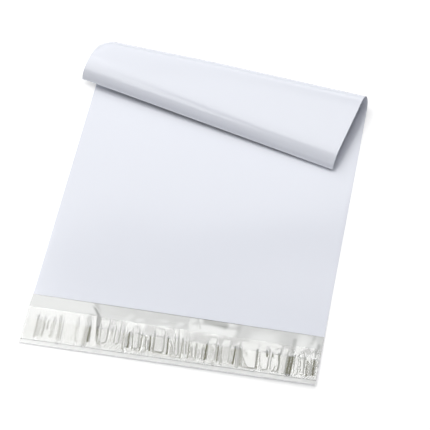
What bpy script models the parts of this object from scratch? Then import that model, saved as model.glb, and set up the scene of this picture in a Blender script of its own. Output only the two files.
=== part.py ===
"""Poly mailer bag: a pouch of white film with side welds, an open self-seal flap and a rolled closed end.

The bag lies on its back, empty and unsealed. The flap points to -Y with its adhesive and release liner
face up. The closed end is rolled forward over the front panel: round a bend at the rear, over a plane top
that falls forward, and down a bend at the front that tightens and ends just above the panel. The rear bend
is slanted, so more of the film is rolled at the right side than at the left. Lengths are in metres, +Z is
up, and the origin is the middle of the bag's footprint on the surface it lies on.
"""

import math

import bmesh
import bpy
import numpy as np

# Film web: one strip, folded at the closed end and welded along both sides.
BAG_WIDTH = 0.254
BODY_LENGTH = 0.330
FLAP_LENGTH = 0.045
FILM = 0.0000635
SIDE_WELD = 0.0015
END_CREASE = 0.0005
POCKET_AIR = 0.0003
AIR_SHARE_AT_WELD = 0.2

# Rolled closed end: the film rolled at the left side, and how far the rear bend slants from there on.
ROLLED_LENGTH = 0.072
ROLL_SLANT = math.radians(7.0)
REAR_RADIUS = 0.0098
TOP_FALL = math.radians(6.5)
FRONT_TURN = math.radians(70.0)
EDGE_HEIGHT = 0.0025

# The roll's rear sags forward and down toward its left end, and its left corner rounds off more.
SAG = 0.002
SAG_REACH = 0.120
CORNER_SAG = 0.0055
CORNER_REACH = 0.014
SAG_START = 0.004
SAG_FULL = 0.022
SAG_END = 0.050

# Release liner over the hot-melt adhesive, both across the flap's inner face.
LINER_MARGIN = 0.0038
LINER_WIDTH = 0.0254
LINER_FILM = 0.00005
LINER_SIDE_INSET = 0.0005
ADHESIVE_INSET = 0.0024
ADHESIVE_WIDTH = 0.016
ADHESIVE_THICKNESS = 0.00006
SEAT_GAP = 0.0001

# Liner tunnels: where the liner has let go of the adhesive in rows of upright ripples.
TUNNEL_PITCH = 0.0098
TUNNEL_HEIGHT = 0.0018
TUNNEL_LOW_SHARE = 0.35
TUNNEL_BORDER = 0.0012
TUNNEL_SHORTEST_SHARE = 0.7
TUNNEL_END_ROUND = 0.005
TUNNEL_END_FADE = 0.003
# Waves that make the tunnels uneven: shift in pitches, length of a wave in pitches per radian, start.
TUNNEL_DRIFTS = ((0.55, 2.3, 0.0), (0.3, 1.2, 1.0))
# Radians from one tunnel to the next in the waves that set their heights and their lengths.
TUNNEL_HEIGHT_TURN = 2.4
TUNNEL_LENGTH_TURN = 1.7

# Soft swells of the flap: distance from the left side, half width, height.
FLAP_SWELLS = (
    (0.034, 0.025, 0.0010),
    (0.104, 0.022, 0.0007),
    (0.161, 0.018, 0.0012),
    (0.205, 0.020, 0.0015),
)
# The flap's left part curls up toward its edge, as far as a soft fold.
CURL_RISE = 0.0025
CURL_WIDTH = 0.050
CURL_FOLD = 0.018

# Facets.
COLUMNS = 36
CORNER_COLUMNS = 3
ADHESIVE_ROWS = 2
FLAP_FADE_ROWS = 4
BODY_ROWS = 3
REAR_ROWS = 12
TOP_ROWS = 3
FRONT_ROWS = 8
STEPS_PER_TUNNEL = 6
LINER_ROWS = 7
LINER_SAMPLES = 4001
NEAREST_TO_LINER_END = 0.3
SHARP_ANGLE = math.radians(30.0)
BEND_SAMPLES = 401

HALF_WIDTH = BAG_WIDTH / 2
WEB_LENGTH = FLAP_LENGTH + BODY_LENGTH
LINER_TOP = LINER_MARGIN + LINER_WIDTH
ADHESIVE_START = LINER_MARGIN + ADHESIVE_INSET
ADHESIVE_END = ADHESIVE_START + ADHESIVE_WIDTH
ROLL_START = WEB_LENGTH - ROLLED_LENGTH
REAR_TURN = math.pi + TOP_FALL
ALONG_FOLD = np.array([math.cos(ROLL_SLANT), -math.sin(ROLL_SLANT), 0.0])
PAST_FOLD = np.array([math.sin(ROLL_SLANT), math.cos(ROLL_SLANT), 0.0])
UPWARD = np.array([0.0, 0.0, 1.0])


def clear_scene():
    for obj in list(bpy.data.objects):
        bpy.data.objects.remove(obj, do_unlink=True)


def unit(vectors):
    return vectors / np.linalg.norm(vectors, axis=-1, keepdims=True)


def smooth_step(share):
    """0 to 1 with level ends, for shares from 0 to 1 and past them."""
    share = np.clip(share, 0.0, 1.0)
    return (3 - 2 * share) * share**2


def past_fold(u, v):
    """Distance of a web place past the line where the film leaves the surface, square to that line."""
    return (v - ROLL_START) * math.cos(ROLL_SLANT) + (u + HALF_WIDTH) * math.sin(ROLL_SLANT)


def front_bend():
    """The front bend for a length of 1: share of the length, steps ahead and inward at it.

    It tightens toward the closed end: its turn grows with the square of the share.
    """
    share = np.linspace(0.0, 1.0, BEND_SAMPLES)
    middle = FRONT_TURN * ((share[1:] + share[:-1]) / 2) ** 2
    steps = np.stack([np.cos(middle), np.sin(middle)]) / (BEND_SAMPLES - 1)
    ahead, inward = np.concatenate([np.zeros((2, 1)), np.cumsum(steps, axis=1)], axis=1)
    return share, ahead, inward


BEND_SHARE, BEND_AHEAD, BEND_INWARD = front_bend()


def front_length():
    """The front bend's length, so that the closed end stops at its height at the right side.

    That height is what the rear bend gains, less the top's fall and the front bend's drop.
    """
    gain = REAR_RADIUS * (1 + math.cos(TOP_FALL))
    fall = (past_fold(HALF_WIDTH, WEB_LENGTH) - REAR_RADIUS * REAR_TURN) * math.sin(TOP_FALL)
    saved = (1 - BEND_AHEAD[-1]) * math.cos(ROLL_SLANT) * math.sin(TOP_FALL)
    return (gain - fall - EDGE_HEIGHT) / (BEND_INWARD[-1] * math.cos(TOP_FALL) - saved)


FRONT_LENGTH = front_length()
FRONT_START = WEB_LENGTH - FRONT_LENGTH


def sag(u, distance):
    """How far the roll gives way: most at the left side, and where the film has half turned."""
    from_left = u + HALF_WIDTH
    amount = SAG * (1 - smooth_step(from_left / SAG_REACH))
    amount = amount + CORNER_SAG * np.clip(1 - from_left / CORNER_REACH, 0.0, 1.0) ** 2
    growing = smooth_step((distance - SAG_START) / (SAG_FULL - SAG_START))
    return amount * growing * smooth_step((SAG_END - distance) / (SAG_END - SAG_FULL))


def roll(u, v, height):
    """Places past the fold: round the rear bend, along the plane top and down the front bend."""
    before = np.minimum(v, FRONT_START)
    distance = past_fold(u, before)[..., None]
    heading = np.clip(distance / REAR_RADIUS, 0.0, REAR_TURN)
    ahead = np.cos(heading) * PAST_FOLD + np.sin(heading) * UPWARD
    inward = np.cos(heading) * UPWARD - np.sin(heading) * PAST_FOLD
    fold = np.stack([u, before, 0 * u], axis=-1) - distance * PAST_FOLD
    bent = REAR_RADIUS * (np.sin(heading) * PAST_FOLD + (1 - np.cos(heading)) * UPWARD)
    top = fold + bent + (distance - REAR_RADIUS * heading) * ahead
    share = (v - before)[..., None] / FRONT_LENGTH
    turn = FRONT_TURN * share**2
    down_web = math.cos(ROLL_SLANT) * ahead - math.sin(ROLL_SLANT) * ALONG_FOLD
    front = FRONT_LENGTH * (
        np.interp(share, BEND_SHARE, BEND_AHEAD) * down_web + np.interp(share, BEND_SHARE, BEND_INWARD) * inward
    )
    placed = top + front + height[..., None] * (np.cos(turn) * inward - np.sin(turn) * down_web)
    return placed - sag(u, distance[..., 0])[..., None] * unit(PAST_FOLD + UPWARD)


def flap_form(u, v):
    """Height of the flap's swells and of its curled left part."""
    from_left = u + HALF_WIDTH
    swells = sum(height * np.exp(-(((from_left - at) / half) ** 2)) for at, half, height in FLAP_SWELLS)
    faded = swells * smooth_step((FLAP_LENGTH - v) / (FLAP_LENGTH - LINER_TOP))
    curled = 1 - smooth_step((from_left - CURL_WIDTH) / CURL_FOLD)
    return faded + CURL_RISE * curled * np.clip(1 - v / FLAP_LENGTH, 0.0, 1.0)


def flap_lift(u, v):
    """The flap's form along straight lines between the web's columns, so that all layers on it agree."""
    columns = web_columns()
    right = np.clip(np.searchsorted(columns, u), 1, len(columns) - 1)
    share = (u - columns[right - 1]) / (columns[right] - columns[right - 1])
    return (1 - share) * flap_form(columns[right - 1], v) + share * flap_form(columns[right], v)


def place(u, v, height):
    """Puts a point of the flat web, a height above the back film's outer face, where it lies in the bag."""
    u, v, height = np.broadcast_arrays(np.asarray(u, float), v, height)
    flat = np.stack([u, v, height + flap_lift(u, v)], axis=-1)
    return np.where((past_fold(u, v) > 0)[..., None], roll(u, v, height), flat)


def web_columns():
    """Places across the web: the side welds, even steps between them, and more at the round corner."""
    inner = np.linspace(-HALF_WIDTH + SIDE_WELD, HALF_WIDTH - SIDE_WELD, COLUMNS + 1)
    corner = (inner[:CORNER_COLUMNS] + inner[1 : CORNER_COLUMNS + 1]) / 2
    return np.sort(np.concatenate([[-HALF_WIDTH], inner, corner, [HALF_WIDTH]]))


def web_rows(u):
    """Lines across the web from the flap's edge to the closed end, and the number of the mouth's line.

    Up to the fold they are square to the web or between, and past it they follow the bends.
    """
    def between(near, far, steps):
        return near + (far - near) * np.arange(steps)[:, None] / steps

    straight = 0.0 * u
    fold = ROLL_START - (u + HALF_WIDTH) * math.tan(ROLL_SLANT)
    top = fold + REAR_RADIUS * REAR_TURN / math.cos(ROLL_SLANT)
    flap = [
        [straight],
        between(ADHESIVE_START + straight, ADHESIVE_END, ADHESIVE_ROWS),
        [ADHESIVE_END + straight],
        between(LINER_TOP + straight, FLAP_LENGTH, FLAP_FADE_ROWS),
    ]
    body = [
        between(FLAP_LENGTH + straight, fold, BODY_ROWS),
        between(fold, top, REAR_ROWS),
        between(top, FRONT_START, TOP_ROWS),
        FRONT_START + FRONT_LENGTH * np.sqrt(np.arange(FRONT_ROWS) / FRONT_ROWS)[:, None] + straight,
        [WEB_LENGTH - END_CREASE + straight, WEB_LENGTH + straight],
    ]
    return np.concatenate(flap + body), sum(len(part) for part in flap)


def pocket_air(u):
    """Room between the two films, least at the welds."""
    share = np.clip(np.abs(u) / (HALF_WIDTH - SIDE_WELD), 0.0, 1.0)
    return POCKET_AIR * (1 - (1 - AIR_SHARE_AT_WELD) * share**2)


def add_vertices(bm, points):
    return [[bm.verts.new(point) for point in row] for row in points]


def add_skin(bm, rows, up=True):
    """Triangles between neighbouring rows of vertices, cut the same way on both faces of a thin film."""
    for near, far in zip(rows, rows[1:]):
        for j in range(len(near) - 1):
            for corners in ((near[j], near[j + 1], far[j + 1]), (near[j], far[j + 1], far[j])):
                bm.faces.new(corners if up else corners[::-1])


def material(name, colour, roughness, alpha=1.0):
    made = bpy.data.materials.new(name)
    made.use_nodes = True
    shader = made.node_tree.nodes["Principled BSDF"]
    shader.inputs["Base Color"].default_value = (*colour, 1.0)
    shader.inputs["Roughness"].default_value = roughness
    shader.inputs["Alpha"].default_value = alpha
    made.diffuse_color = (*colour, alpha)
    return made


def add_object(name, bm, surface):
    bmesh.ops.recalc_face_normals(bm, faces=bm.faces)
    mesh = bpy.data.meshes.new(name)
    bm.to_mesh(mesh)
    bm.free()
    mesh.materials.append(surface)
    mesh.shade_smooth()
    mesh.set_sharp_from_angle(angle=SHARP_ANGLE)
    obj = bpy.data.objects.new(name, mesh)
    bpy.context.scene.collection.objects.link(obj)
    return obj


def make_pouch():
    """Back film with the flap, front film, side welds and closed end as the one folded web they are."""
    u = web_columns()
    v, mouth = web_rows(u)
    last = len(u) - 1
    inner = slice(1, last)
    crease = len(v) - 2
    air = pocket_air(u)
    air[0] = air[last] = 0.0
    bm = bmesh.new()
    outer_back = add_vertices(bm, place(u, v, 0.0))
    flap_top = add_vertices(bm, place(u, v[: mouth + 1], FILM))
    outer_front = add_vertices(bm, place(u, v[mouth:], 2 * FILM + air))
    pocket_floor = [flap_top[mouth][inner]]
    pocket_floor += add_vertices(bm, place(u[inner], v[mouth + 1 : crease + 1, inner], FILM))
    pocket_roof = add_vertices(bm, place(u[inner], v[mouth : crease + 1, inner], FILM + air[inner]))

    add_skin(bm, outer_back, up=False)
    add_skin(bm, flap_top)
    add_skin(bm, outer_front)
    add_skin(bm, pocket_floor)
    add_skin(bm, pocket_roof, up=False)
    add_skin(bm, [outer_back[0], flap_top[0]])
    add_skin(bm, [outer_back[-1][::-1], outer_front[-1][::-1]])
    add_skin(bm, [pocket_roof[0], outer_front[0][inner]])
    add_skin(bm, [pocket_floor[-1], pocket_roof[-1]])
    for side, weld, end in ((0, 1, 0), (last, last - 1, -1)):
        lip, seam = flap_top[mouth], outer_front[0]
        bm.faces.new((lip[side], lip[weld], pocket_roof[0][end], seam[weld], seam[side]))
        for k in range(mouth):
            bm.faces.new((outer_back[k][side], outer_back[k + 1][side], flap_top[k + 1][side], flap_top[k][side]))
        for k in range(len(outer_front) - 1):
            low, high = outer_back[mouth + k], outer_back[mouth + k + 1]
            wall = [low[side], high[side], outer_front[k + 1][side], outer_front[k][side]]
            bm.faces.new(wall + [lip[side]] if k == 0 else wall)
        for k in range(len(pocket_roof) - 1):
            bm.faces.new((pocket_floor[k][end], pocket_floor[k + 1][end], pocket_roof[k + 1][end], pocket_roof[k][end]))
    return add_object("mailer_pouch", bm, material("white_film", (0.82, 0.84, 0.88), 0.38))


def make_slab(name, u, v, underside, thickness, surface):
    """A thin layer on the flap, over a grid of web places, at an underside height above the back film."""
    bm = bmesh.new()
    bottom = add_vertices(bm, place(u, v, underside))
    top = add_vertices(bm, place(u, v, underside + thickness))
    add_skin(bm, bottom, up=False)
    add_skin(bm, top)
    for low, high in ((bottom, top), (list(zip(*bottom)), list(zip(*top)))):
        add_skin(bm, [low[0], high[0]])
        add_skin(bm, [low[-1], high[-1]])
    return add_object(name, bm, surface)


def make_adhesive():
    """Hot-melt band on the flap, on the film web's own columns so that it lies flat on it."""
    u = web_columns()[1:-1]
    v = np.linspace(ADHESIVE_START, ADHESIVE_END, ADHESIVE_ROWS + 1)[:, None] + 0.0 * u
    surface = material("hot_melt_adhesive", (0.62, 0.62, 0.58), 0.25)
    return make_slab("adhesive_strip", u, v, FILM + SEAT_GAP, ADHESIVE_THICKNESS, surface)


def tunnel_phase(u):
    """Counts tunnels from the left side. Their widths drift, as the liner lets go unevenly."""
    pitches = (u + HALF_WIDTH) / TUNNEL_PITCH
    return pitches + sum(shift * np.sin(pitches / wave + start) for shift, wave, start in TUNNEL_DRIFTS)


def liner_columns():
    """Places across the liner: its two ends, and between them the same number of steps in each tunnel."""
    side = HALF_WIDTH - LINER_SIDE_INSET
    fine = np.linspace(-side, side, LINER_SAMPLES)
    steps = tunnel_phase(fine) * STEPS_PER_TUNNEL
    wanted = np.arange(math.ceil(steps[0] + NEAREST_TO_LINER_END), steps[-1] - NEAREST_TO_LINER_END)
    return np.concatenate([[-side], np.interp(wanted, steps, fine), [side]])


def uneven(least, turn):
    """A share between the least and 1 that goes up and down with the turn."""
    return least + (1 - least) * (1 + np.sin(turn)) / 2


def tunnel_rise(u, v):
    """Height of the liner's tunnels: arches across, round at the flap's edge and blunt at the other end."""
    phase = tunnel_phase(u)
    number = np.floor(phase)
    offset = 2 * (phase - number) - 1
    height = uneven(TUNNEL_LOW_SHARE, TUNNEL_HEIGHT_TURN * number)
    length = uneven(TUNNEL_SHORTEST_SHARE, TUNNEL_LENGTH_TURN * number)
    rounding = TUNNEL_END_ROUND * (1 - np.sqrt(np.clip(1 - offset**2, 0.0, 1.0)))
    start = LINER_MARGIN + TUNNEL_BORDER + rounding
    stop = LINER_MARGIN + TUNNEL_BORDER + (LINER_WIDTH - 2 * TUNNEL_BORDER) * length
    ends = smooth_step((v - start) / TUNNEL_END_FADE) * smooth_step((stop - v) / TUNNEL_END_FADE)
    return TUNNEL_HEIGHT * height * (1 - offset**2) * ends


def make_liner():
    """Release liner: a strip of clear siliconed film, tunnelled, over the adhesive."""
    u = liner_columns()
    v = np.linspace(LINER_MARGIN, LINER_TOP, LINER_ROWS + 1)[:, None] + 0.0 * u
    seat = FILM + 2 * SEAT_GAP + ADHESIVE_THICKNESS
    surface = material("clear_release_film", (0.80, 0.81, 0.80), 0.12, alpha=0.55)
    return make_slab("release_liner", u, v, seat + tunnel_rise(u, v), LINER_FILM, surface)


def settle_on_origin(objects):
    """Parents the pieces to an empty that puts the middle of the footprint at the origin."""
    corners = np.array([vertex.co for obj in objects for vertex in obj.data.vertices])
    low, high = corners.min(axis=0), corners.max(axis=0)
    footprint = bpy.data.objects.new("bag_footprint", None)
    bpy.context.scene.collection.objects.link(footprint)
    footprint.location = (-(low[0] + high[0]) / 2, -(low[1] + high[1]) / 2, -low[2])
    for obj in objects:
        obj.parent = footprint


def main():
    clear_scene()
    settle_on_origin([make_pouch(), make_adhesive(), make_liner()])


main()
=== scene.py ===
"""Poly mailer bag: its films, glue and liner in a plain white studio.

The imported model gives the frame. Three of its pieces are replaced by finer ones: the pouch of white film,
the band of glue on its flap and the clear release liner over the glue. Every place on the bag is first a
place on its flat film web: u runs across from the middle of the width, v from the flap's edge to the
closed end. Lengths are in metres, and in the tables of puckers, folds, hills and rises in millimetres.
"""

import math

import bpy
import numpy as np
from mathutils import Matrix, Vector


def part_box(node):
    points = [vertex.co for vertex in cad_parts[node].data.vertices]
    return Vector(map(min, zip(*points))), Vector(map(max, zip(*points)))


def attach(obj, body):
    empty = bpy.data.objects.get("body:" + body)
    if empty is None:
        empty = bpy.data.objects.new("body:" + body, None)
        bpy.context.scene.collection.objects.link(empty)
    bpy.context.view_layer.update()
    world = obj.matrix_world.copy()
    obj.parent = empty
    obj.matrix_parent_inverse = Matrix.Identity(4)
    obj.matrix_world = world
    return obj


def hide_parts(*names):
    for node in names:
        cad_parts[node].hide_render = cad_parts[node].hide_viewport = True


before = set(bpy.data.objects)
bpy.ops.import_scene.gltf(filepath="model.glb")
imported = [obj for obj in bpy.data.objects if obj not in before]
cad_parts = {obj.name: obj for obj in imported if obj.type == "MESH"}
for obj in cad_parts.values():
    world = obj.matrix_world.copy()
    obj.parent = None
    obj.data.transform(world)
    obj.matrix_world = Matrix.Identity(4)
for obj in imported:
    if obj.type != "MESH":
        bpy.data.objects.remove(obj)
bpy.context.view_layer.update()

MM = 0.001

# The film web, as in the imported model.
BAG_WIDTH = 254 * MM
BODY_LENGTH = 330 * MM
FLAP_LENGTH = 45 * MM
FILM = 0.0635 * MM
SIDE_WELD = 1.5 * MM
END_CREASE = 0.5 * MM
POCKET_AIR = 0.3 * MM
AIR_SHARE_AT_WELD = 0.2
HALF_WIDTH = BAG_WIDTH / 2
WEB_LENGTH = FLAP_LENGTH + BODY_LENGTH

# The rolled closed end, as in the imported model: a slanted bend at the rear, a plane top that falls
# forward, and a bend down the front, parallel to the closed end, that tightens toward it.
ROLLED_LENGTH = 72.0 * MM
ROLL_SLANT = math.radians(7.0)
REAR_RADIUS = 9.8 * MM
TOP_FALL = math.radians(6.5)
FRONT_TURN = math.radians(70.0)
EDGE_HEIGHT = 2.5 * MM
# The roll's rear sags forward and down toward its left end, and its left corner rounds off more.
SAG = 2.0 * MM
SAG_REACH = 120 * MM
CORNER_SAG = 5.5 * MM
CORNER_REACH = 14 * MM
SAG_START = 4 * MM
SAG_FULL = 22 * MM
SAG_END = 50 * MM
# The stiff crease at the closed end turns outward a little.
LIP_LENGTH = 1.2 * MM
LIP_RISE = 0.7 * MM

# The liner and the glue under it.
LINER_MARGIN = 3.8 * MM
LINER_WIDTH = 28.4 * MM
LINER_FILM = 0.05 * MM
LINER_SIDE_INSET = 0.5 * MM
GLUE_INSET = 2.4 * MM
GLUE_WIDTH = 16 * MM
GLUE_THICKNESS = 0.06 * MM
SEAT_GAP = 0.1 * MM
LINER_TOP = LINER_MARGIN + LINER_WIDTH
GLUE_START = LINER_MARGIN + GLUE_INSET
GLUE_TOP = GLUE_START + GLUE_WIDTH

# Puckers of the glued band, from left to right: left side and right side from the bag's left side, round
# closed end and faded open end from the flap's edge, and height, all in millimetres.
PUCKERS = (
    (2.7, 9.6, 4.0, 33.5, 0.2), (17.4, 20.2, 15.5, 23.0, 0.2), (20.9, 24.0, 4.5, 32.5, 0.2),
    (26.6, 29.8, 4.0, 32.5, 0.2), (33.8, 45.0, 3.8, 33.0, 0.25), (48.0, 52.8, 3.9, 33.0, 0.25),
    (58.8, 62.0, 4.0, 36.0, 0.4), (67.2, 74.6, 9.0, 33.0, 1.1), (71.5, 74.5, 4.2, 8.5, 0.5),
    (75.0, 78.5, 10.0, 24.0, 0.6), (79.5, 85.2, 10.0, 33.0, 1.1), (85.4, 87.0, 11.0, 20.0, 0.5),
    (89.6, 91.2, 8.0, 26.0, 0.6), (93.3, 94.6, 9.0, 25.0, 0.5), (94.8, 102.2, 8.2, 35.5, 1.0),
    (104.3, 107.2, 4.3, 13.0, 0.7), (106.6, 110.6, 8.6, 24.0, 0.9), (112.2, 114.4, 6.5, 14.0, 0.6),
    (114.2, 124.0, 8.2, 32.5, 0.9), (127.0, 129.6, 4.2, 11.0, 0.7), (129.2, 131.6, 8.0, 22.0, 0.8),
    (131.8, 136.6, 7.4, 32.5, 1.1), (139.4, 143.0, 9.0, 26.0, 0.8), (140.3, 142.3, 5.0, 11.0, 0.5),
    (147.2, 151.6, 7.0, 24.0, 0.8), (152.0, 154.0, 5.5, 10.5, 0.5), (152.5, 157.0, 7.0, 23.0, 0.9),
    (160.2, 168.0, 6.5, 30.0, 0.7), (169.8, 172.2, 4.0, 10.0, 0.6), (169.8, 171.2, 8.0, 25.0, 0.6),
    (172.2, 179.6, 6.5, 30.0, 0.7), (184.6, 187.6, 4.2, 30.0, 1.2), (189.2, 203.0, 5.5, 30.0, 1.0),
    (204.0, 206.0, 4.0, 8.5, 0.5), (204.2, 213.2, 5.8, 30.0, 0.7), (213.6, 222.0, 5.5, 30.0, 0.9),
    (222.6, 227.6, 4.5, 30.0, 0.7), (233.2, 237.8, 5.0, 30.0, 0.7), (238.2, 242.6, 6.0, 27.0, 0.7),
    (246.6, 248.2, 6.0, 23.0, 0.7), (250.8, 251.9, 6.0, 22.0, 0.6), (252.2, 253.4, 5.0, 22.0, 0.5),
)
# How far the puckers lean: distance from the left side in millimetres, and shift to the right for each
# millimetre away from the flap's edge.
LEANS = (
    (0, 0.0), (25, 0.0), (45, -0.08), (62, -0.18), (75, -0.05), (92, -0.12), (112, -0.14), (126, -0.15),
    (146, -0.18), (158, -0.05), (170, -0.1), (183, -0.03), (189, -0.15), (203, -0.09), (215, -0.05),
    (230, 0.0), (240, -0.1), (254, -0.07),
)
# Tight folds between the puckers, where the liner lies pressed on gathered glue, with painted shade in the
# glue's and the grey film's colours there. The rows from (113, 30) on lie above the glue: there the liner,
# where it reaches, is pressed down too, and the bare film beyond it gets only painted shade. The row at
# (154, 43.4) is a painted shadow under the front film's lip. Both ends, each as the distances from the left
# side and from the flap's edge, half width in millimetres, and depth.
FOLDS_AND_PAINTED_SHADE = (
    (11.2, 25, 12.0, 8, 1.7, 0.6), (14.5, 23, 14.5, 9, 1.7, 0.5), (17.5, 24, 17.6, 9, 1.3, 0.6),
    (20.5, 23, 20.6, 15, 0.6, 0.5), (25.6, 25, 25.3, 9, 1.5, 0.5), (30.8, 28, 32.3, 9, 1.7, 0.6),
    (31.5, 10, 33.0, 4, 1.5, 0.4), (46.0, 28, 46.3, 14, 1.3, 0.45), (46.3, 13, 48.0, 8, 1.0, 0.4),
    (44.0, 12, 43.5, 9, 0.8, 0.3), (55.2, 31, 55.6, 6, 2.6, 0.65), (57.3, 22, 58.0, 9.5, 1.1, 1.0),
    (64.0, 23, 65.5, 12, 1.3, 0.75), (65.5, 12, 69.0, 8, 1.3, 0.6), (77.0, 25, 77.0, 12, 1.5, 0.35),
    (83.5, 22, 84.0, 20.5, 1.0, 0.35), (86.2, 30, 88.8, 8, 1.3, 0.6), (89.5, 9, 90.5, 5, 1.5, 0.4),
    (91.5, 23, 93.0, 9, 0.9, 1.0), (94.5, 22, 97.0, 8.5, 0.6, 0.55), (97.5, 8.2, 102.0, 8.2, 0.6, 0.4),
    (103.0, 23, 103.6, 8, 1.1, 0.75), (106.3, 22, 106.6, 15, 0.6, 0.6), (106.6, 15, 109.0, 8, 0.6, 0.6),
    (108.0, 22, 109.0, 20, 0.5, 0.5), (110.3, 23, 112.0, 9, 0.8, 1.0), (113.0, 27, 114.5, 9.5, 1.0, 0.7),
    (115.5, 8.2, 123.0, 8, 0.8, 0.7), (123.8, 12, 123.2, 8.5, 0.6, 0.6), (125.3, 24, 127.3, 8, 0.8, 1.0),
    (128.3, 21, 130.5, 7.5, 0.5, 0.6), (130.5, 7, 136.0, 7, 1.0, 0.45), (131.2, 23, 133.0, 13, 0.5, 0.5),
    (138.0, 24, 138.8, 7, 1.3, 0.65), (141.0, 22, 142.5, 20.5, 0.6, 0.8), (143.0, 28, 144.0, 20, 0.8, 0.6),
    (144.0, 20, 145.3, 8, 0.8, 0.9), (145.6, 19, 147.6, 8, 0.5, 0.7), (150.5, 21, 151.0, 8, 1.2, 0.4),
    (153.0, 20, 155.0, 9, 0.5, 0.4), (158.8, 22, 159.5, 8.5, 1.2, 1.0), (157.0, 20, 158.0, 8, 0.8, 0.45),
    (164.0, 21, 166.0, 17, 1.0, 0.25), (168.3, 23, 169.6, 8.5, 0.7, 1.0),
    (171.0, 23, 173.5, 6.5, 0.5, 0.65), (166.5, 7, 168.0, 5, 1.5, 0.4), (180.8, 21, 181.0, 8, 1.0, 0.5),
    (183.0, 24, 183.4, 8, 1.0, 1.0), (187.2, 23, 189.5, 8, 0.8, 0.8), (190.0, 15, 195.0, 6, 0.8, 0.5),
    (189.5, 7, 203.0, 5, 1.2, 0.45), (193.0, 20, 194.0, 17, 0.5, 0.3), (202.3, 23, 203.4, 7, 0.8, 0.75),
    (205.0, 14, 207.5, 6.5, 0.5, 0.5), (208.0, 6, 212.0, 6, 0.8, 0.35), (209.7, 24, 210.5, 19, 0.7, 1.0),
    (212.6, 13, 213.0, 7, 0.6, 0.4), (214.7, 22, 215.2, 19, 0.6, 0.9), (219.0, 11, 218.0, 6.5, 0.6, 0.5),
    (220.2, 22, 221.0, 17, 0.7, 0.9), (221.0, 17, 222.0, 12, 0.5, 0.5), (222.0, 12, 221.0, 6.5, 0.6, 0.5),
    (229.0, 22, 229.0, 5, 1.6, 1.0), (231.5, 23, 231.3, 5, 1.5, 1.0), (237.0, 26, 239.6, 8, 0.5, 0.45),
    (242.7, 23, 242.8, 14, 0.5, 0.5), (244.5, 20, 245.2, 6, 0.9, 0.8), (246.0, 18, 246.5, 8, 0.7, 0.5),
    (247.2, 23, 248.6, 14, 0.6, 0.7), (249.6, 22, 250.2, 8, 1.2, 1.0), (251.3, 24, 252.0, 16, 0.5, 0.7),
    (253.0, 22, 253.2, 10, 0.4, 0.5), (113.0, 30, 113.0, 26, 1.0, 0.35), (142.2, 31, 143.0, 27, 1.0, 0.35),
    (159.5, 31, 159.5, 23, 2.2, 0.3), (182.5, 43, 181.0, 31, 2.2, 0.22), (230.5, 38, 230.8, 24, 1.7, 0.4),
    (246.0, 43, 245.0, 37, 1.5, 0.25), (251.0, 36, 251.5, 25, 1.6, 0.35), (230.6, 31, 230.8, 24, 2.0, 0.6),
    # Painted shadow under the front film's lip, and painted shade of two creases near the mouth.
    (154.0, 43.4, 170.0, 41.8, 3.4, 0.65), (146.5, 44, 150.0, 36, 0.7, 0.35),
    (57.5, 43, 60.5, 36, 2.4, 0.3),
)


def unit(vectors):
    """Vectors of length 1."""
    return vectors / np.linalg.norm(vectors, axis=-1, keepdims=True)


def smooth_step(share):
    """0 to 1 with level ends: 3 s^2 - 2 s^3, for shares from 0 to 1 and past them."""
    share = np.clip(share, 0.0, 1.0)
    return (3 - 2 * share) * share**2


def soft_hills(places, u, v):
    """Height of soft hills: the sum of height exp(-s^2 - t^2), at shares s and t of their half widths.

    Each is given by its distances from the left side and from the flap's edge, its half widths across,
    toward the flap's edge and toward the closed end, and its height, in millimetres.
    """
    from_left, along = (u + HALF_WIDTH) / MM, v / MM
    total = 0.0
    for place_u, place_v, across, fore, aft, height in places:
        reach = np.where(along > place_v, aft, fore)
        shares = ((from_left - place_u) / across) ** 2 + ((along - place_v) / reach) ** 2
        total = total + height * np.exp(-shares)
    return MM * total


# The roll
BEND_SAMPLES = 401
ROLL_START = WEB_LENGTH - ROLLED_LENGTH
REAR_TURN = math.pi + TOP_FALL
ALONG_FOLD = np.array([math.cos(ROLL_SLANT), -math.sin(ROLL_SLANT), 0.0])
PAST_FOLD = np.array([math.sin(ROLL_SLANT), math.cos(ROLL_SLANT), 0.0])
UPWARD = np.array([0.0, 0.0, 1.0])


def past_fold(u, v):
    """Distance of a web place past the line where the film leaves the surface, square to that line."""
    return (v - ROLL_START) * math.cos(ROLL_SLANT) + (u + HALF_WIDTH) * math.sin(ROLL_SLANT)


def front_bend():
    """The front bend's outline for a bend 1 long: share of the length, steps ahead and inward at it.

    The bend tightens toward the closed end: its turn is FRONT_TURN s^2 at a share s of its length, so the
    steps are the integrals of cos(FRONT_TURN s^2) and sin(FRONT_TURN s^2).
    """
    share = np.linspace(0.0, 1.0, BEND_SAMPLES)
    middle = FRONT_TURN * ((share[1:] + share[:-1]) / 2) ** 2
    steps = np.stack([np.cos(middle), np.sin(middle)]) / (BEND_SAMPLES - 1)
    ahead, inward = np.concatenate([np.zeros((2, 1)), np.cumsum(steps, axis=1)], axis=1)
    return share, ahead, inward


BEND_SHARE, BEND_AHEAD, BEND_INWARD = front_bend()


def front_length():
    """The front bend's length, so that at the right side the closed end stops at its height.

    That height is what the rear bend gains, less the top's fall and the front bend's drop. The last two
    are linear in the length.
    """
    gain = REAR_RADIUS * (1 + math.cos(TOP_FALL))
    fall = (past_fold(HALF_WIDTH, WEB_LENGTH) - REAR_RADIUS * REAR_TURN) * math.sin(TOP_FALL)
    saved = (1 - BEND_AHEAD[-1]) * math.cos(ROLL_SLANT) * math.sin(TOP_FALL)
    return (gain - fall - EDGE_HEIGHT) / (BEND_INWARD[-1] * math.cos(TOP_FALL) - saved)


FRONT_LENGTH = front_length()
FRONT_START = WEB_LENGTH - FRONT_LENGTH


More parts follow.
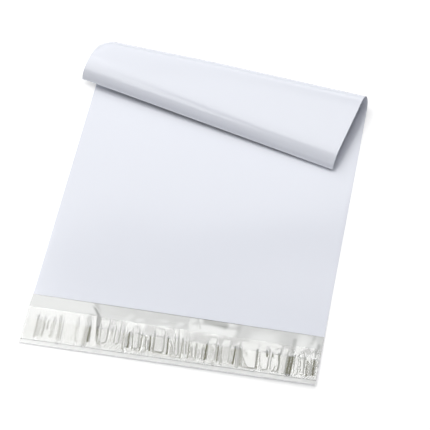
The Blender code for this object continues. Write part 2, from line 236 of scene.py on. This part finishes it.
def roll(u, v, height):
    """Places past the fold: round the rear bend, along the plane top and down the front bend.

    Round the rear bend, an arc length s and a radius r give the heading s / r, and a step
    r sin(heading) ahead and r (1 - cos(heading)) to the side that the film turns to.
    """
    before = np.minimum(v, FRONT_START)
    distance = past_fold(u, before)[..., None]
    heading = np.clip(distance / REAR_RADIUS, 0.0, REAR_TURN)
    ahead = np.cos(heading) * PAST_FOLD + np.sin(heading) * UPWARD
    inward = np.cos(heading) * UPWARD - np.sin(heading) * PAST_FOLD
    fold = np.stack([u, before, 0 * u], axis=-1) - distance * PAST_FOLD
    bent = REAR_RADIUS * (np.sin(heading) * PAST_FOLD + (1 - np.cos(heading)) * UPWARD)
    top = fold + bent + (distance - REAR_RADIUS * heading) * ahead
    share = (v - before)[..., None] / FRONT_LENGTH
    turn = FRONT_TURN * share**2
    down_web = math.cos(ROLL_SLANT) * ahead - math.sin(ROLL_SLANT) * ALONG_FOLD
    steps_ahead = np.interp(share, BEND_SHARE, BEND_AHEAD) * down_web
    steps_inward = np.interp(share, BEND_SHARE, BEND_INWARD) * inward
    front = FRONT_LENGTH * (steps_ahead + steps_inward)
    inside = (height - end_lip(v))[..., None]
    placed = top + front + inside * (np.cos(turn) * inward - np.sin(turn) * down_web)
    return placed - sag(u, distance[..., 0])[..., None] * unit(PAST_FOLD + UPWARD)


def end_lip(v):
    """How far the stiff crease at the closed end turns outward: LIP_RISE s^2 at a share s of its length."""
    return LIP_RISE * np.clip((v - WEB_LENGTH + LIP_LENGTH) / LIP_LENGTH, 0.0, 1.0) ** 2


def sag(u, distance):
    """How far the rear and the top give way: most at the left side, and half way round the rear bend."""
    from_left = u + HALF_WIDTH
    amount = SAG * (1 - smooth_step(from_left / SAG_REACH))
    amount = amount + CORNER_SAG * np.clip(1 - from_left / CORNER_REACH, 0.0, 1.0) ** 2
    growing = smooth_step((distance - SAG_START) / (SAG_FULL - SAG_START))
    return amount * growing * smooth_step((SAG_END - distance) / (SAG_END - SAG_FULL))


def frame_shift():
    """From the web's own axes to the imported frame: the pouch's right side, flap edge and underside."""
    low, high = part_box("mailer_pouch")
    return np.array([high.x - HALF_WIDTH, low.y, low.z])


SHIFT = frame_shift()


# The flap: its puckers lean about the glued band's middle. Their walls are this wide, their closed ends this
# round, and their open ends fade from here on, or over a shorter way where they end early.
BAND_MIDDLE = 14 * MM
PUCKER_SIDE = 1.5 * MM
PUCKER_ROUND = 3.2 * MM
FADE_START = 21.5 * MM
SHORT_FADE = 7.0 * MM
# The puckers' real share of the heights in their table.
PUCKER_SHARE = 0.62


def pucker(u, v, fade_start, fade_end):
    """Height of the puckers: for each one, the distance inside a slot that is round at its closed end,
    turned into a wall by sin^2 and fading toward its open end, or toward a common end if that is nearer."""
    from_left = u + HALF_WIDTH
    places, leans = np.array(LEANS).T
    upright = from_left - np.interp(from_left, places * MM, leans) * (v - BAND_MIDDLE)
    rise = np.zeros(np.broadcast(u, v).shape)
    for left, right, closed, opened, height in np.array(PUCKERS) * MM:
        half = (right - left) / 2
        corner = min(half, PUCKER_ROUND)
        beside = np.abs(upright - (left + right) / 2) - (half - corner)
        below = closed + corner - v
        outside = np.hypot(np.maximum(beside, 0.0), np.maximum(below, 0.0))
        inside = corner - outside - np.minimum(np.maximum(beside, below), 0.0)
        wall = np.clip(inside / min(half, PUCKER_SIDE), 0.0, 1.0)
        end = min(opened, fade_end)
        start = min(fade_start, end - SHORT_FADE)
        fade = 1 - smooth_step((v - start) / (end - start))
        rise = np.maximum(rise, PUCKER_SHARE * height * fade * np.sin(wall * math.pi / 2) ** 2)
    return rise


def fold_and_shade_depth(u, v):
    """0 away from the tight folds to 1 in the deepest: depth exp(-(d / half width)^(2 + 2 depth)) at a
    distance d from each fold's straight line. It presses the liner down and sets the painted shade."""
    from_left = (u + HALF_WIDTH) / MM
    along = v / MM
    deepest = np.zeros(np.broadcast(u, v).shape)
    for u1, v1, u2, v2, half_width, depth in FOLDS_AND_PAINTED_SHADE:
        run, rise = u2 - u1, v2 - v1
        share = ((from_left - u1) * run + (along - v1) * rise) / (run**2 + rise**2)
        share = np.clip(share, 0.0, 1.0)
        distance = np.hypot(from_left - u1 - share * run, along - v1 - share * rise)
        deepest = np.maximum(deepest, depth * np.exp(-((distance / half_width) ** (2 + 2 * depth))))
    return deepest


# The left part of the flap stands off the surface, up to a steep slope that follows this line: distances
# from the flap's edge and from the left side in millimetres. The slope is this long, and the curl is highest
# at its top line and keeps a share of its height along the bare edge.
CURL_LINE = ((0, 69.0), (9, 67.0), (18, 65.0), (25, 63.8), (34, 62.0), (38, 59.0), (45, 52.0))
CURL_RISE = 2.3 * MM
CURL_SLOPE = 5.5 * MM
CURL_TOP = 33 * MM
EDGE_SHARE = 0.1


def left_curl(u, v):
    """The left part's rise: up from the mouth, ever less steeply, to its top, evenly down from there to a
    share along the flap's bare edge, and down to nothing across the slope at its right side."""
    lines, places = np.array(CURL_LINE).T * MM
    across = smooth_step((np.interp(v, lines, places) + CURL_SLOPE / 2 - u - HALF_WIDTH) / CURL_SLOPE)
    back = np.clip((v - CURL_TOP) / (FLAP_LENGTH - CURL_TOP), 0.0, 1.0)
    ahead = np.clip((v - GLUE_START) / (CURL_TOP - GLUE_START), 0.0, 1.0)
    along = np.where(v > CURL_TOP, 1 - back * (1 + back) / 2, EDGE_SHARE + (1 - EDGE_SHARE) * ahead)
    return CURL_RISE * across * along


# Soft hills of the flap film, as soft_hills takes them.
HILLS = (
    (90, 34, 4, 5, 5, 0.35), (98, 33, 4, 4, 3, 0.4), (119, 35, 5, 4, 4, 0.3), (133, 33, 4, 7, 5, 0.35),
    (143, 39, 3, 6, 4, 0.35), (149, 40, 1.2, 5, 4, 0.2), (160.5, 41.0, 9, 5, 2.5, 0.8),
    (163, 37, 9, 4, 4, 0.18), (177, 40, 4, 5, 5, 0.3), (207, 27, 14, 14, 11, 0.95),
    (214, 28.5, 5, 2.0, 1.6, 0.4), (239, 27, 6, 14, 11, 1.1), (248, 30, 2.5, 9, 7, 0.6),
    (198, 22, 5, 8, 3, 0.6), (209, 21, 4, 8, 3, 0.15), (217, 21, 3, 8, 3, 0.3),
)
# The flap's slope up to its edge: at the left side, and its growth for each metre across. The body turns
# into it over a length before the mouth.
FLAP_TILT = 0.004
FLAP_TWIST = 0.14
BEND_REACH = 50 * MM


def flap_slope(u, v):
    """The film's rise toward the flap's edge: a parabola over the bend, then an even slope over the flap."""
    tilt = FLAP_TILT + FLAP_TWIST * (u + HALF_WIDTH)
    bent = np.clip(FLAP_LENGTH + BEND_REACH - v, 0.0, BEND_REACH)
    return tilt * (bent**2 / (2 * BEND_REACH) + np.clip(FLAP_LENGTH - v, 0.0, None))


# Fine wrinkles of the liner: wave length and height, both in millimetres. They bend along the liner by a
# sine that gets longer from each to the next, lean to one side, and crowd and spread across the liner.
CRINKLES = ((1.9, 0.003), (2.7, 0.006), (3.9, 0.01), (6.1, 0.018))
CRINKLE_BEND = 0.9
CRINKLE_BEND_LENGTH = 5.0
CRINKLE_BEND_GROWTH = 2.0
CRINKLE_LEAN = 0.12
CRINKLE_CROWDING = 3.0
CRINKLE_CROWD_LENGTH = 11.0


def crinkle(u, v):
    """Fine wrinkles: a sum of cosines across the liner, whose places are shifted by the sines above."""
    from_left, along = (u + HALF_WIDTH) / MM, v / MM
    total = 0.0
    for number, (length, height) in enumerate(CRINKLES):
        bend_length = CRINKLE_BEND_LENGTH + CRINKLE_BEND_GROWTH * number
        bend = CRINKLE_BEND * np.sin(along / bend_length + number) + CRINKLE_LEAN * along
        crowding = CRINKLE_CROWDING * np.sin(from_left / CRINKLE_CROWD_LENGTH + number)
        total = total + height * np.cos(2 * math.pi * (from_left + bend) / length + crowding)
    return MM * total


# The flap film takes this share of the puckers' height, and the liner stands off it by the rest.
FILM_SHARE = 0.35


def film_lift(u, v):
    """The flap film's height over the surface: curl, hills, slope, and its share of the puckers."""
    forms = left_curl(u, v) + (soft_hills(HILLS, u, v) + flap_slope(u, v))
    return forms + FILM_SHARE * pucker(u, v, FADE_START, FLAP_LENGTH)


# The flap's cut edge is a little out of square: longer than its mean at the left, shorter at the right.
CUT_LEFT = -1.8 * MM
CUT_RIGHT = 1.0 * MM


def cut_slant(u, v):
    """How far that moves a place on the flap toward the mouth: linear across the flap and along it."""
    share = (u + HALF_WIDTH) / BAG_WIDTH
    return (CUT_LEFT + (CUT_RIGHT - CUT_LEFT) * share) * np.clip(1 - v / FLAP_LENGTH, 0.0, 1.0)


def place(u, v, height):
    """Puts a point of the flat web, a height above the back film's outer face, where it lies in the bag.

    Ahead of the fold a point stays flat and is lifted by the flap's forms. Past it, it follows the roll.
    """
    u, v, height = np.broadcast_arrays(np.asarray(u, float), v, height)
    flat = np.stack([u, v + cut_slant(u, v), height + film_lift(u, v)], axis=-1)
    return SHIFT + np.where((past_fold(u, v) > 0)[..., None], roll(u, v, height), flat)


# The front film's soft rises off the back film, as soft_hills takes them. They fade out toward the sides and
# toward the roll over these lengths.
RISES = ((45, 165, 40, 40, 40, 0.45), (200, 150, 50, 45, 45, 0.3))
RISE_SIDE_FADE = 4 * MM
RISE_ROLL_FADE = 15 * MM


def front_rise(u, v):
    """Height of the front film's rises, faded out at the sides and at the roll."""
    beside = smooth_step((HALF_WIDTH - np.abs(u)) / RISE_SIDE_FADE)
    return soft_hills(RISES, u, v) * beside * smooth_step(-past_fold(u, v) / RISE_ROLL_FADE)


# Meshes: edges sharper than this are shaded as edges. Each mesh carries its places on the web, in metres, as
# UV, and how deep it lies in the tight folds, which the materials turn into painted shade.
SHARP_ANGLE = math.radians(50.0)
WEB_UV = "film_web"
FOLD_SHADE_ATTRIBUTE = "painted_fold_shade"


def quads(near, far, up=True):
    """Faces between two index rows, or between the neighbouring rows of one index grid."""
    corners = np.stack([near[..., :-1], near[..., 1:], far[..., 1:], far[..., :-1]], axis=-1).reshape(-1, 4)
    return corners if up else corners[:, ::-1]


def mesh_piece(name, points, web, faces, face_materials, materials):
    """One mesh object from vertex places, their web places, and faces with their material numbers."""
    mesh = bpy.data.meshes.new(name)
    mesh.from_pydata(points.tolist(), [], faces)
    uv_layer = mesh.uv_layers.new(name=WEB_UV)
    corner_vertices = np.empty(len(mesh.loops), np.int32)
    mesh.loops.foreach_get("vertex_index", corner_vertices)
    uv_layer.data.foreach_set("uv", web[corner_vertices].astype(np.float32).ravel())
    # The fold depth, kept as an attribute, is read by the materials as painted shade.
    folds = mesh.attributes.new(FOLD_SHADE_ATTRIBUTE, "FLOAT", "POINT")
    folds.data.foreach_set("value", fold_and_shade_depth(web[:, 0], web[:, 1]).astype(np.float32))
    mesh.polygons.foreach_set("material_index", face_materials.astype(np.int32))
    for surface in materials:
        mesh.materials.append(surface)
    mesh.shade_smooth()
    mesh.set_sharp_from_angle(angle=SHARP_ANGLE)
    mesh.validate()
    obj = bpy.data.objects.new(name, mesh)
    bpy.context.scene.collection.objects.link(obj)
    return obj


class Grids:
    """Collects grids of web places with their index numbers, and the faces between them."""

    def __init__(self):
        self.points, self.web, self.faces, self.kinds, self.count = [], [], [], [], 0

    def layer(self, u, v, height):
        """Adds one grid of vertices and gives its index grid."""
        u, v, height = np.broadcast_arrays(u, v, height)
        self.points.append(place(u, v, height).reshape(-1, 3))
        self.web.append(np.stack([u, v], axis=-1).reshape(-1, 2))
        numbers = self.count + np.arange(u.size).reshape(u.shape)
        self.count += u.size
        return numbers

    def skin(self, grid, kind=0, up=True):
        """Faces over a whole index grid, of one kind, which is the number of their material."""
        self.add(quads(grid[:-1], grid[1:], up), kind)

    def edge(self, low, high, kind=0, up=True):
        """Faces between two index rows."""
        self.add(quads(low[None], high[None], up), kind)

    def add(self, faces, kind):
        self.faces.extend(faces.tolist())
        self.kinds.append(np.full(len(faces), kind))

    def piece(self, name, materials):
        """The collected grids as one object."""
        return mesh_piece(
            name,
            np.concatenate(self.points),
            np.concatenate(self.web),
            self.faces,
            np.concatenate(self.kinds),
            materials,
        )


# The pouch: steps across it, steps along its flap, its body and the parts of its roll, and the numbers of
# its two materials.
COLUMNS = 320
FLAP_ROWS = 45
BODY_ROWS = 12
REAR_ROWS = 18
TOP_ROWS = 4
FRONT_ROWS = 16
WHITE, GREY = 0, 1


def web_columns():
    """Places across the web: the side welds, and even steps between them."""
    inner = np.linspace(-HALF_WIDTH + SIDE_WELD, HALF_WIDTH - SIDE_WELD, COLUMNS + 1)
    return np.concatenate([[-HALF_WIDTH], inner, [HALF_WIDTH]])


def web_rows(u):
    """Lines across the web from the flap's edge to the closed end, and the number of the mouth's line.

    The flap's and body's lines are even steps. The roll's follow its bends, where they are straight.
    """
    def between(near, far, steps):
        return near + (far - near) * np.arange(steps)[:, None] / steps

    across_web = 0.0 * u
    closed_end = np.array([LIP_LENGTH, 1.5 * END_CREASE, END_CREASE, 0.0])[:, None]
    bend_start = ROLL_START - (u + HALF_WIDTH) * math.tan(ROLL_SLANT)
    bend_end = bend_start + REAR_RADIUS * REAR_TURN / math.cos(ROLL_SLANT)
    rows = [
        between(across_web, FLAP_LENGTH, FLAP_ROWS),
        between(FLAP_LENGTH + across_web, bend_start, BODY_ROWS),
        between(bend_start, bend_end, REAR_ROWS),
        between(bend_end, FRONT_START, TOP_ROWS),
        between(FRONT_START + across_web, WEB_LENGTH, FRONT_ROWS),
        WEB_LENGTH - closed_end + across_web,
    ]
    return np.concatenate(rows), FLAP_ROWS


def pocket_air(u):
    """Room between the two films: a parabola across, least at the welds."""
    share = np.clip(np.abs(u) / (HALF_WIDTH - SIDE_WELD), 0.0, 1.0)
    return POCKET_AIR * (1 - (1 - AIR_SHARE_AT_WELD) * share**2)


def make_pouch(outer, inner):
    """Back film with the flap, front film, side welds and closed end, as the one folded web they are.

    Four skins are laid over each other: outer face of the back, inner face of the flap and pocket, inner
    face of the front, and outer face of the front. Narrow walls close them at every edge.
    """
    u = web_columns()
    v, mouth = web_rows(u)
    crease = len(v) - 2
    air = pocket_air(u)
    air[[0, -1]] = 0.0
    within = slice(1, -1)
    grids = Grids()
    outer_back = grids.layer(u, v, 0.0)
    flap_top = grids.layer(u, v[: mouth + 1], FILM)
    risen = air + front_rise(u, v[mouth:])
    outer_front = grids.layer(u, v[mouth:], 2 * FILM + risen)
    floor = grids.layer(u[within], v[mouth + 1 : crease + 1, within], FILM)
    roof = grids.layer(u[within], v[mouth : crease + 1, within], FILM + risen[:-1, within])
    floor = np.concatenate([flap_top[mouth, within][None], floor])

    grids.skin(outer_back, WHITE, up=False)
    grids.skin(flap_top, GREY)
    grids.skin(outer_front, WHITE)
    grids.skin(floor, GREY)
    grids.skin(roof, GREY, up=False)
    grids.edge(outer_back[0], flap_top[0], GREY)
    grids.edge(outer_back[-1], outer_front[-1], WHITE, up=False)
    grids.edge(roof[0], outer_front[0, within], WHITE)  # the mouth's upper edge
    grids.edge(floor[-1], roof[-1], GREY)
    for side, weld, end, up in ((0, 1, 0, False), (-1, -2, -1, True)):
        grids.edge(outer_back[: mouth + 1, side], flap_top[:, side], WHITE, up)
        grids.edge(outer_back[mouth + 1 :, side], outer_front[1:, side], WHITE, up)
        grids.edge(floor[:, end], roof[:, end], GREY, not up)
        # Where the front film begins, one face of the wall and one of the mouth have a fifth corner at the
        # flap's upper edge, so the step up to the front film stays closed.
        step, top = flap_top[mouth, side], outer_front[:2, side]
        wall = np.array([[*outer_back[mouth : mouth + 2, side], top[1], top[0], step]])
        lip = np.array([[step, flap_top[mouth, weld], roof[0, end], outer_front[0, weld], top[0]]])
        grids.add(wall if up else wall[:, ::-1], WHITE)
        grids.add(lip[:, ::-1] if up else lip, WHITE)
    return grids.piece("mailer_pouch_film", (outer, inner))


def make_slab(name, u, v, underside, thickness, surface):
    """A thin closed layer over a grid of web places, at an underside height above the back film."""
    grids = Grids()
    bottom = grids.layer(u, v, underside)
    top = grids.layer(u, v, underside + thickness)
    grids.skin(bottom, up=False)
    grids.skin(top)
    grids.edge(bottom[0], top[0])
    grids.edge(bottom[-1], top[-1], up=False)
    grids.edge(bottom[:, 0], top[:, 0], up=False)
    grids.edge(bottom[:, -1], top[:, -1])
    return grids.piece(name, (surface,))


# The glued band: steps across it, and along the liner's bare edge, the glue and the liner's free edge.
BAND_COLUMNS = 640
EDGE_ROWS = 6
GLUE_ROWS = 32
TOP_FREE_ROWS = 20


def band_columns():
    """Places across the band, shared by the glue and the liner: the liner's sides, and even steps between
    the glue's sides."""
    inner = np.linspace(-HALF_WIDTH + SIDE_WELD, HALF_WIDTH - SIDE_WELD, BAND_COLUMNS + 1)
    side = HALF_WIDTH - LINER_SIDE_INSET
    return np.concatenate([[-side], inner, [side]])


def make_glue(surface):
    """Band of hot-melt glue that follows the flap film's puckers."""
    u = band_columns()[1:-1]
    v = np.linspace(GLUE_START, GLUE_TOP, GLUE_ROWS + 1)[:, None] + 0.0 * u
    return make_slab("hot_melt_glue_band", u, v, FILM + SEAT_GAP, GLUE_THICKNESS, surface)


# The liner lies off the glue by enough for its wrinkles, and by more toward the flap's edge, as a slope.
CRINKLE_SEAT = 0.12 * MM
LINER_TILT = 0.005


def make_liner(surface):
    """Release liner: a strip of clear film whose puckers stand higher than the flap film's.

    It is finely crinkled where it stands free, and lies down on the glue in the tight folds.
    """
    u = band_columns()
    lines = [
        np.linspace(LINER_MARGIN, GLUE_START, EDGE_ROWS, endpoint=False),
        np.linspace(GLUE_START, GLUE_TOP, GLUE_ROWS, endpoint=False),
        np.linspace(GLUE_TOP, LINER_TOP, TOP_FREE_ROWS + 1),
    ]
    v = np.concatenate(lines)[:, None] + 0.0 * u
    standing = (1 - FILM_SHARE) * pucker(u, v, GLUE_TOP, LINER_TOP) + CRINKLE_SEAT + crinkle(u, v)
    standing = standing + LINER_TILT * (LINER_TOP - v)
    free = standing * (1 - fold_and_shade_depth(u, v))
    seat = FILM + 2 * SEAT_GAP + GLUE_THICKNESS
    return make_slab("release_liner_film", u, v, seat + free, LINER_FILM, surface)


# Materials. Their patterns follow the web, and repeat this often in a metre of it: die lines 4 mm apart and
# 170 mm long, waves in the inner film 8 mm apart, and lumps of glue 2 mm apart. The real die lines and
# lumps are finer, and are drawn as coarse as they need to be to show.
DIE_LINES = (6.0, 250.0, 1.0)
INNER_WAVES = 120.0
GLUE_LUMPS = 500.0


def colour(code):
    """A linear colour from an sRGB hex code."""
    channels = np.array([int(code[i : i + 2], 16) for i in (1, 3, 5)]) / 255
    linear = np.where(channels <= 0.04045, channels / 12.92, ((channels + 0.055) / 1.055) ** 2.4)
    return (*linear, 1.0)


def node(tree, kind, inputs=None, **settings):
    """Adds a node: its settings by name, then its inputs, as values or as links from output sockets."""
    made = tree.nodes.new(kind)
    for name, value in settings.items():
        setattr(made, name, value)
    for name, value in (inputs or {}).items():
        if isinstance(value, bpy.types.NodeSocket):
            tree.links.new(value, made.inputs[name])
        else:
            made.inputs[name].default_value = value
    return made


def new_material(name):
    """An empty material, and its node tree."""
    made = bpy.data.materials.new(name)
    made.use_nodes = True
    made.node_tree.nodes.clear()
    return made, made.node_tree


def white_polyethylene():
    """White blown LDPE film: opaque, bluish white from its brightener, satin, with faint die lines."""
    made, tree = new_material("white_ldpe_film")
    web = node(tree, "ShaderNodeUVMap", uv_map=WEB_UV)
    # Die lines run across the bag, the way that the film left the blowing die.
    stretched = node(tree, "ShaderNodeMapping", {"Vector": web.outputs["UV"], "Scale": DIE_LINES})
    lines = node(
        tree,
        "ShaderNodeTexNoise",
        {"Vector": stretched.outputs["Vector"], "Scale": 1.0, "Detail": 2.0},
    )
    bump = node(
        tree,
        "ShaderNodeBump",
        {"Height": lines.outputs["Fac"], "Strength": 0.04, "Distance": 0.2 * MM},
    )
    shader = node(
        tree,
        "ShaderNodeBsdfPrincipled",
        {
            "Base Color": colour("#E6E9F2"),
            "Roughness": 0.12,
            "IOR": 1.51,
            "Normal": bump.outputs["Normal"],
        },
    )
    node(tree, "ShaderNodeOutputMaterial", {"Surface": shader.outputs["BSDF"]})
    return made


def grey_polyethylene():
    """Silver-grey inner layer of the same co-extruded film: light grey with a faint metal sheen."""
    made, tree = new_material("silver_grey_ldpe_film")
    web = node(tree, "ShaderNodeUVMap", uv_map=WEB_UV)
    waves = node(
        tree,
        "ShaderNodeTexNoise",
        {"Vector": web.outputs["UV"], "Scale": INNER_WAVES, "Detail": 2.0},
    )
    bump = node(
        tree,
        "ShaderNodeBump",
        {"Height": waves.outputs["Fac"], "Strength": 0.2, "Distance": 0.6 * MM},
    )
    shader = node(
        tree,
        "ShaderNodeBsdfPrincipled",
        {
            # Darker grey in the tight folds and creases: painted shade.
            "Base Color": painted_fold_shade_mix(tree, "#B8B9B8", "#6E706C"),
            "Metallic": 0.28,
            "Roughness": 0.17,
            "IOR": 1.51,
            "Normal": bump.outputs["Normal"],
        },
    )
    node(tree, "ShaderNodeOutputMaterial", {"Surface": shader.outputs["BSDF"]})
    return made


def painted_fold_shade(tree):
    """How deep the surface lies in the tight folds: the share of painted shade."""
    return node(tree, "ShaderNodeAttribute", attribute_name=FOLD_SHADE_ATTRIBUTE).outputs["Fac"]


def painted_fold_shade_mix(tree, flat, folded):
    """A colour that goes to a darker one in the tight folds, as painted shade."""
    return node(
        tree,
        "ShaderNodeMix",
        {0: painted_fold_shade(tree), 6: colour(flat), 7: colour(folded)},
        data_type="RGBA",
    ).outputs[2]


def hot_melt_glue():
    """Pressure-sensitive hot melt: a clear, slightly yellow coat that darkens the film under it.

    In the tight folds its colour goes to a dark olive: partly the tint of glue gathered thick there, partly
    painted shade of the folds.
    """
    made, tree = new_material("hot_melt_glue")
    web = node(tree, "ShaderNodeUVMap", uv_map=WEB_UV)
    lumps = node(
        tree,
        "ShaderNodeTexNoise",
        {"Vector": web.outputs["UV"], "Scale": GLUE_LUMPS, "Detail": 2.0},
    )
    bump = node(
        tree,
        "ShaderNodeBump",
        {"Height": lumps.outputs["Fac"], "Strength": 0.2, "Distance": 0.2 * MM},
    )
    shader = node(
        tree,
        "ShaderNodeBsdfPrincipled",
        {
            # Dark olive in the folds: thick glue's tint with painted shade.
            "Base Color": painted_fold_shade_mix(tree, "#BCBDB0", "#47451F"),
            "Roughness": 0.3,
            "IOR": 1.48,
            "Normal": bump.outputs["Normal"],
        },
    )
    node(tree, "ShaderNodeOutputMaterial", {"Surface": shader.outputs["BSDF"]})
    return made


def siliconed_liner_film():
    """Clear siliconed release film: slightly milky and glossy, and clearer in the tight folds, where it lies
    pressed down, so that the painted shade under it shows.

    Its IOR and its coat stand over the film's real 1.5, because the real film has many more small facets
    that glitter than the mesh.
    """
    made, tree = new_material("siliconed_release_film")
    # Nearly clear where the painted fold shade lies, so that it shows through.
    milk = node(tree, "ShaderNodeMapRange", {"Value": painted_fold_shade(tree), "To Min": 0.46, "To Max": 0.03})
    shader = node(
        tree,
        "ShaderNodeBsdfPrincipled",
        {
            "Base Color": colour("#CFD0CC"),
            "Roughness": 0.16,
            "IOR": 1.9,
            "Specular IOR Level": 1.0,
            "Coat Weight": 1.0,
            "Coat IOR": 1.9,
            "Coat Roughness": 0.16,
            "Alpha": milk.outputs["Result"],
        },
    )
    node(tree, "ShaderNodeOutputMaterial", {"Surface": shader.outputs["BSDF"]})
    return made


# The studio: the floor lies just under the bag, and glows a little where it is seen.
FLOOR_SIZE = 8.0
FLOOR_DROP = 0.2 * MM
FLOOR_GLOW = 0.35


def background_share(tree):
    """1 where the camera, a gloss or something clear looks at the background, else 0."""
    path = node(tree, "ShaderNodeLightPath")
    seen = node(
        tree,
        "ShaderNodeMath",
        {0: path.outputs["Is Camera Ray"], 1: path.outputs["Is Glossy Ray"]},
        operation="MAXIMUM",
    )
    return node(
        tree,
        "ShaderNodeMath",
        {0: seen.outputs[0], 1: path.outputs["Is Transmission Ray"]},
        operation="MAXIMUM",
    ).outputs[0]


def make_floor():
    """Pale floor that reads white in the view and still takes the bag's shadow."""
    made, tree = new_material("white_paper_floor")
    paper = node(tree, "ShaderNodeBsdfDiffuse", {"Color": colour("#ECECEC")})
    glow = node(tree, "ShaderNodeEmission", {"Color": colour("#FFFFFF")})
    share = node(tree, "ShaderNodeMath", {0: background_share(tree), 1: FLOOR_GLOW}, operation="MULTIPLY")
    tree.links.new(share.outputs[0], glow.inputs["Strength"])
    both = node(tree, "ShaderNodeAddShader")
    tree.links.new(paper.outputs[0], both.inputs[0])
    tree.links.new(glow.outputs[0], both.inputs[1])
    node(tree, "ShaderNodeOutputMaterial", {"Surface": both.outputs[0]})
    half = FLOOR_SIZE / 2
    mesh = bpy.data.meshes.new("studio_floor")
    ground = ((-half, -half), (half, -half), (half, half), (-half, half))
    mesh.from_pydata([(x, y, -FLOOR_DROP) for x, y in ground], [], [(0, 1, 2, 3)])
    mesh.materials.append(made)
    floor = bpy.data.objects.new("studio_floor", mesh)
    bpy.context.scene.collection.objects.link(floor)


# How strong the white surroundings are as a light. Where they are seen, their strength is 1.
WORLD_LIGHT = 0.18


def make_world():
    """White surroundings: dim as a light, white where they are seen."""
    world = bpy.data.worlds.new("studio_surroundings")
    bpy.context.scene.world = world
    world.use_nodes = True
    tree = world.node_tree
    tree.nodes.clear()
    strength = node(
        tree,
        "ShaderNodeMapRange",
        {"Value": background_share(tree), "To Min": WORLD_LIGHT, "To Max": 1.0},
    )
    sky = node(
        tree,
        "ShaderNodeBackground",
        {"Color": colour("#FFFFFF"), "Strength": strength.outputs["Result"]},
    )
    node(tree, "ShaderNodeOutputWorld", {"Surface": sky.outputs[0]})


def direction(azimuth, elevation):
    """The direction at an azimuth, with 0 toward the flap and 90 to the bag's right, and an elevation."""
    a, e = math.radians(azimuth), math.radians(elevation)
    return Vector((math.sin(a) * math.cos(e), -math.cos(a) * math.cos(e), math.sin(e)))


# The film is glossy, so the softboxes stand where it mirrors them: the rear one in the front panel, the
# overhead one in the roll's top, the left one in its upper bend. The grey film of the flap mirrors the gap
# between the first two. Each has an azimuth and an elevation in degrees, a distance, width and depth in
# metres, and a power in watts.
SOFTBOXES = {
    "rear_softbox": (193.0, 45.0, 2.0, 2.5, 1.14, 19.7),
    "overhead_softbox": (188.0, 80.0, 4.0, 2.6, 2.3, 51.0),
    "left_softbox": (269.0, 62.0, 3.0, 2.7, 0.7, 16.5),
    "front_fill": (350.0, 20.0, 3.0, 2.0, 1.2, 8.0),
}


def make_softbox(name, azimuth, elevation, distance, width, depth, power):
    """An area lamp that faces the middle of the bag."""
    lamp = bpy.data.lights.new(name, "AREA")
    lamp.shape = "RECTANGLE"
    lamp.size, lamp.size_y = width, depth
    lamp.energy = power
    box = bpy.data.objects.new(name, lamp)
    away = direction(azimuth, elevation)
    box.location = away * distance
    box.rotation_mode = "QUATERNION"
    box.rotation_quaternion = away.to_track_quat("Z", "Y")
    bpy.context.scene.collection.objects.link(box)


# The camera, from the flap's and the roll's corners in the photograph: angles in degrees, the place on the
# front panel that it looks at, and lens and sensor in millimetres.
CAMERA_AZIMUTH = 20.39
CAMERA_ELEVATION = 59.48
CAMERA_ROLL = -9.93
CAMERA_DISTANCE = 1.2657
CAMERA_TARGET = Vector(SHIFT) + Vector((12.43 * MM, 146.38 * MM, 0.0))
CAMERA_LENS = 120.55
SENSOR_WIDTH = 36.0
CLIP_NEAR, CLIP_FAR = 0.05, 50.0


def make_camera():
    """The camera looks at a point on the bag, turned about its own line of sight."""
    data = bpy.data.cameras.new("photo_camera")
    data.lens, data.sensor_width = CAMERA_LENS, SENSOR_WIDTH
    data.clip_start, data.clip_end = CLIP_NEAR, CLIP_FAR
    camera = bpy.data.objects.new("photo_camera", data)
    back = direction(CAMERA_AZIMUTH, CAMERA_ELEVATION)
    azimuth = math.radians(CAMERA_AZIMUTH)
    level = Vector((math.cos(azimuth), math.sin(azimuth), 0.0))
    over = back.cross(level)
    turn = math.radians(CAMERA_ROLL)
    right = level * math.cos(turn) + over * math.sin(turn)
    upward = over * math.cos(turn) - level * math.sin(turn)
    camera.rotation_mode = "QUATERNION"
    camera.rotation_quaternion = Matrix((right, upward, back)).transposed().to_quaternion()
    camera.location = CAMERA_TARGET + back * CAMERA_DISTANCE
    bpy.context.scene.collection.objects.link(camera)
    bpy.context.scene.camera = camera


def main():
    """Camera, the three film pieces in place of their packed ones, floor, surroundings and lamps."""
    make_camera()
    pouch = make_pouch(white_polyethylene(), grey_polyethylene())
    glue = make_glue(hot_melt_glue())
    liner = make_liner(siliconed_liner_film())
    for piece, cad_node, slot in (
        (pouch, "mailer_pouch", "white_film"),
        (glue, "adhesive_strip", "hot_melt_adhesive"),
        (liner, "release_liner", "clear_release_film"),
    ):
        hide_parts(cad_node)
        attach(piece, "root")
    make_floor()
    make_world()
    for name, settings in SOFTBOXES.items():
        make_softbox(name, *settings)
    bpy.context.scene.view_settings.view_transform = "Standard"


main()
